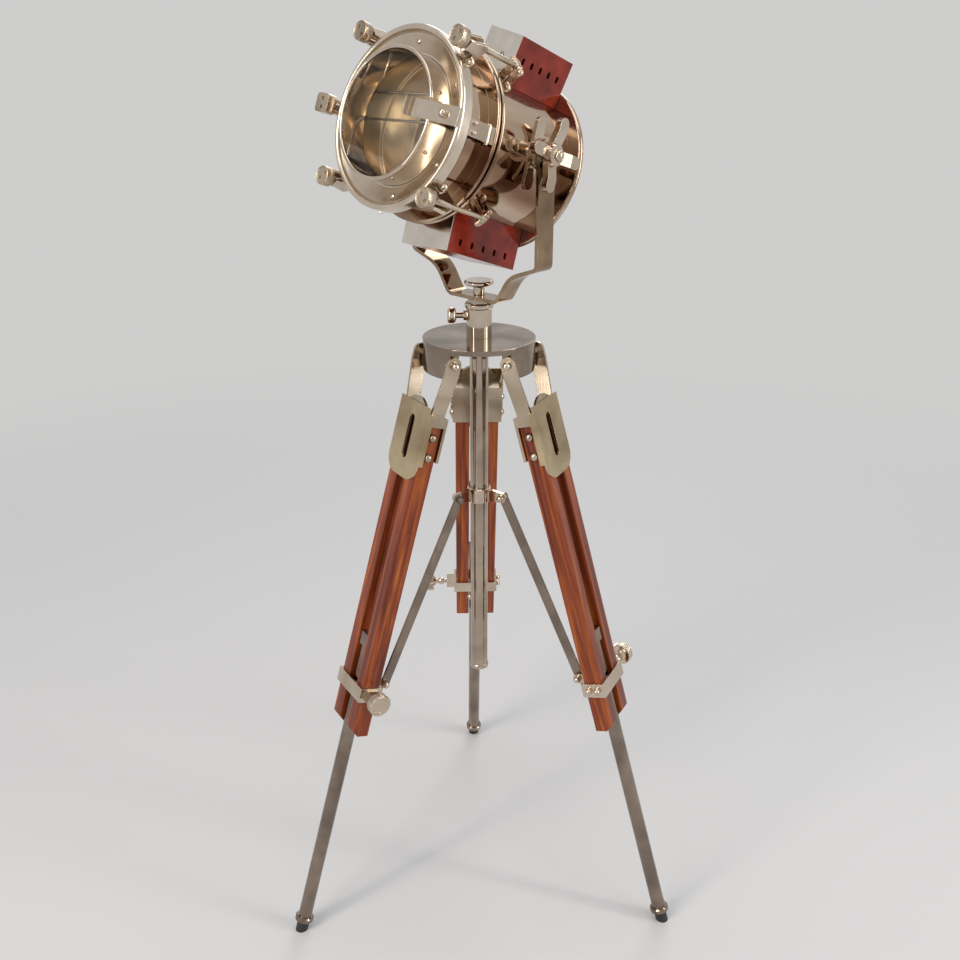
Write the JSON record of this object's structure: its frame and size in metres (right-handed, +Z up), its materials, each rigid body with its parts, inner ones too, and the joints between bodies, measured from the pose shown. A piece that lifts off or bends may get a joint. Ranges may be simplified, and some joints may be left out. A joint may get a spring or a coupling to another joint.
{
  "type": "tabletop searchlight lamp",
  "caption": "Nautical-style searchlight lamp with a hooded metal drum on a panning, tilting yoke and a folding wooden tripod with telescopic legs",
  "frame": {"origin": "on the floor under the middle of the lamp as seen from above", "axes": "+Z up, the rear leg towards +Y, +X to the right seen from the front; the lamp head looks between -X and -Y"},
  "size_m": [0.3568, 0.326, 0.7922],
  "materials": {
    "plate": "satin",
    "sleeve": "polished",
    "column": "polished",
    "satin_metal": "satin",
    "cast_metal": "satin",
    "drum_skin": "brushed",
    "bezel": "satin",
    "hood": "polished",
    "hardware": "polished",
    "lens_glass": "clear",
    "bulb_glass": "frosted",
    "reflector": "polished",
    "holder": "glossy",
    "vent_box": "satin",
    "wood": "polished",
    "fork": "satin",
    "shield": "satin",
    "clamp": "polished",
    "knob": "polished",
    "tube": "polished",
    "foot": "matte",
    "brace": "satin"
  },
  "bodies": {
    "tripod_head": {"top_plate": "plate", "column_sleeve": "sleeve", "hinge_bolts": "satin_metal"},
    "sleeve_screw": {"sleeve_screw": "satin_metal"},
    "column": {"column": "column"},
    "pan_knob": {"pan_knob": "satin_metal"},
    "yoke": {"yoke": "satin_metal"},
    "head": {"trunnions": "cast_metal", "drum": "drum_skin", "front_barrel": "drum_skin", "bezel": "bezel", "bezel_hinge": "hardware", "lens": "lens_glass", "hood": "hood", "hood_clip": "hood", "rear_cover": "drum_skin", "cable_gland": "satin_metal", "reflector": "reflector", "lamp_holder": "holder", "bulb": "bulb_glass", "top_vent_box": "vent_box", "bottom_vent_box": "vent_box"},
    "tilt_nut_right": {"tilt_nut_right": "cast_metal"},
    "tilt_nut_left": {"tilt_nut_left": "cast_metal"},
    "swing_bolt_1": {"swing_bolt_1": "hardware"},
    "swing_nut_1": {"swing_nut_1": "hardware"},
    "swing_bolt_2": {"swing_bolt_2": "hardware"},
    "swing_nut_2": {"swing_nut_2": "hardware"},
    "swing_bolt_3": {"swing_bolt_3": "hardware"},
    "swing_nut_3": {"swing_nut_3": "hardware"},
    "swing_bolt_4": {"swing_bolt_4": "hardware"},
    "swing_nut_4": {"swing_nut_4": "hardware"},
    "swing_bolt_5": {"swing_bolt_5": "hardware"},
    "swing_nut_5": {"swing_nut_5": "hardware"},
    "brace_hub": {"brace_hub": "satin_metal"},
    "leg_rear": {"leg_rear_slats": "wood", "leg_rear_fork": "fork", "leg_rear_shield": "shield", "leg_rear_clamp": "clamp"},
    "leg_rear_lower": {"leg_rear_tube": "tube", "leg_rear_foot": "foot"},
    "leg_rear_clamp_knob": {"leg_rear_clamp_knob": "knob"},
    "leg_rear_brace": {"leg_rear_brace": "brace"},
    "leg_left": {"leg_left_slats": "wood", "leg_left_fork": "fork", "leg_left_shield": "shield", "leg_left_clamp": "clamp"},
    "leg_left_lower": {"leg_left_tube": "tube", "leg_left_foot": "foot"},
    "leg_left_clamp_knob": {"leg_left_clamp_knob": "knob"},
    "leg_left_brace": {"leg_left_brace": "brace"},
    "leg_right": {"leg_right_slats": "wood", "leg_right_fork": "fork", "leg_right_shield": "shield", "leg_right_clamp": "clamp"},
    "leg_right_lower": {"leg_right_tube": "tube", "leg_right_foot": "foot"},
    "leg_right_clamp_knob": {"leg_right_clamp_knob": "knob"},
    "leg_right_brace": {"leg_right_brace": "brace"}
  },
  "joints": [
    {"name": "sleeve_screw_turn", "type": "hinge", "parent": "tripod_head", "child": "sleeve_screw", "pos_m": [-0.0129, -0.0422, 0.5685], "axis": [1, 0, 0], "continuous": true},
    {"name": "column_lift", "type": "slide", "parent": "tripod_head", "child": "column", "axis": [0, 0, 1], "range_m": [0, 0.15]},
    {"name": "pan_knob_turn", "type": "hinge", "parent": "column", "child": "pan_knob", "pos_m": [0, -0.0422, 0.591], "axis": [0, 0, 1], "continuous": true},
    {"name": "pan", "type": "hinge", "parent": "column", "child": "yoke", "pos_m": [0, -0.0422, 0.583], "axis": [0, 0, 1], "range_deg": [-180, 180]},
    {"name": "tilt", "type": "hinge", "parent": "yoke", "child": "head", "pos_m": [0, -0.0422, 0.701], "axis": [-0.6947, 0.7193, 0], "range_deg": [-38, 55]},
    {"name": "tilt_nut_right_turn", "type": "hinge", "parent": "head", "child": "tilt_nut_right", "pos_m": [0.05245, -0.09651, 0.701], "axis": [0.6947, -0.7193, 0], "continuous": true},
    {"name": "tilt_nut_left_turn", "type": "hinge", "parent": "head", "child": "tilt_nut_left", "pos_m": [-0.05245, 0.01211, 0.701], "axis": [-0.6947, 0.7193, 0], "continuous": true},
    {"name": "swing_bolt_1_swing", "type": "hinge", "parent": "head", "child": "swing_bolt_1", "pos_m": [0.02543, -0.09104, 0.76156], "axis": [-0.337, 0.6746, 0.6568], "range_deg": [0, 80]},
    {"name": "swing_nut_1_turn", "type": "hinge", "parent": "swing_bolt_1", "child": "swing_nut_1", "pos_m": [-0.01463, -0.12972, 0.78074], "axis": [-0.6801, -0.6568, 0.3256], "continuous": true},
    {"name": "swing_bolt_2_swing", "type": "hinge", "parent": "head", "child": "swing_bolt_2", "pos_m": [-0.04435, -0.01712, 0.76492], "axis": [-0.6827, 0.4057, -0.6078], "range_deg": [0, 80]},
    {"name": "swing_nut_2_turn", "type": "hinge", "parent": "swing_bolt_2", "child": "swing_nut_2", "pos_m": [-0.08441, -0.0558, 0.78409], "axis": [-0.6801, -0.6568, 0.3256], "continuous": true},
    {"name": "swing_bolt_3_swing", "type": "hinge", "parent": "head", "child": "swing_bolt_3", "pos_m": [-0.07547, -0.00969, 0.71488], "axis": [-0.2821, -0.1754, -0.9432], "range_deg": [0, 80]},
    {"name": "swing_nut_3_turn", "type": "hinge", "parent": "swing_bolt_3", "child": "swing_nut_3", "pos_m": [-0.11553, -0.04838, 0.73406], "axis": [-0.6801, -0.6568, 0.3256], "continuous": true},
    {"name": "swing_bolt_4_swing", "type": "hinge", "parent": "head", "child": "swing_bolt_4", "pos_m": [-0.07628, -0.03376, 0.66465], "axis": [0.2552, -0.6285, -0.7348], "range_deg": [0, 80]},
    {"name": "swing_nut_4_turn", "type": "hinge", "parent": "swing_bolt_4", "child": "swing_nut_4", "pos_m": [-0.11634, -0.07244, 0.68382], "axis": [-0.6801, -0.6568, 0.3256], "continuous": true},
    {"name": "swing_bolt_5_swing", "type": "hinge", "parent": "head", "child": "swing_bolt_5", "pos_m": [0.00069, -0.11624, 0.65906], "axis": [0.6568, -0.3487, 0.6686], "range_deg": [0, 80]},
    {"name": "swing_nut_5_turn", "type": "hinge", "parent": "swing_bolt_5", "child": "swing_nut_5", "pos_m": [-0.03937, -0.15492, 0.67823], "axis": [-0.6801, -0.6568, 0.3256], "continuous": true},
    {"name": "leg_rear_fold", "type": "hinge", "parent": "tripod_head", "child": "leg_rear", "pos_m": [0, -0.0012, 0.538], "axis": [-1, 0, 0], "range_deg": [0, 16]},
    {"name": "leg_rear_extend", "type": "slide", "parent": "leg_rear", "child": "leg_rear_lower", "axis": [0, 0.2823, -0.9593], "range_m": [-0.15, 0.03]},
    {"name": "leg_rear_clamp_knob_turn", "type": "hinge", "parent": "leg_rear", "child": "leg_rear_clamp_knob", "pos_m": [-0.048, 0.0835, 0.25021], "axis": [-1, 0, 0], "continuous": true},
    {"name": "leg_rear_brace_swing", "type": "hinge", "parent": "leg_rear", "child": "leg_rear_brace", "pos_m": [0, 0.06048, 0.24343], "axis": [-1, 0, 0], "range_deg": [0, 11.6]},
    {"name": "leg_left_fold", "type": "hinge", "parent": "tripod_head", "child": "leg_left", "pos_m": [-0.03551, -0.0627, 0.538], "axis": [0.5, -0.866, 0], "range_deg": [0, 16]},
    {"name": "leg_left_extend", "type": "slide", "parent": "leg_left", "child": "leg_left_lower", "axis": [-0.2445, -0.1412, -0.9593], "range_m": [-0.15, 0.03]},
    {"name": "leg_left_clamp_knob_turn", "type": "hinge", "parent": "leg_left", "child": "leg_left_clamp_knob", "pos_m": [-0.09011, -0.13753, 0.25021], "axis": [0.5, -0.866, 0], "continuous": true},
    {"name": "leg_left_brace_swing", "type": "hinge", "parent": "leg_left", "child": "leg_left_brace", "pos_m": [-0.08892, -0.09354, 0.24343], "axis": [0.5, -0.866, 0], "range_deg": [0, 11.6]},
    {"name": "leg_right_fold", "type": "hinge", "parent": "tripod_head", "child": "leg_right", "pos_m": [0.03551, -0.0627, 0.538], "axis": [0.5, 0.866, 0], "range_deg": [0, 16]},
    {"name": "leg_right_extend", "type": "slide", "parent": "leg_right", "child": "leg_right_lower", "axis": [0.2445, -0.1412, -0.9593], "range_m": [-0.15, 0.03]},
    {"name": "leg_right_clamp_knob_turn", "type": "hinge", "parent": "leg_right", "child": "leg_right_clamp_knob", "pos_m": [0.13286, -0.06348, 0.25021], "axis": [0.5, 0.866, 0], "continuous": true},
    {"name": "leg_right_brace_swing", "type": "hinge", "parent": "leg_right", "child": "leg_right_brace", "pos_m": [0.08892, -0.09354, 0.24343], "axis": [0.5, 0.866, 0], "range_deg": [0, 11.6]},
    {"name": "brace_hub_slide", "type": "slide", "parent": "tripod_head", "child": "brace_hub", "axis": [0, 0, 1], "range_m": [0, 0.01497]}
  ],
  "couplings": [
    {"joint": "leg_rear_brace_swing", "follows": "leg_rear_fold", "ratio": 0.70612},
    {"joint": "leg_left_brace_swing", "follows": "leg_rear_fold", "ratio": 0.70612},
    {"joint": "leg_left_fold", "follows": "leg_rear_fold", "ratio": 1},
    {"joint": "leg_right_brace_swing", "follows": "leg_rear_fold", "ratio": 0.70612},
    {"joint": "leg_right_fold", "follows": "leg_rear_fold", "ratio": 1},
    {"joint": "brace_hub_slide", "follows": "leg_rear_fold", "m_per_rad": 0.051808}
  ]
}
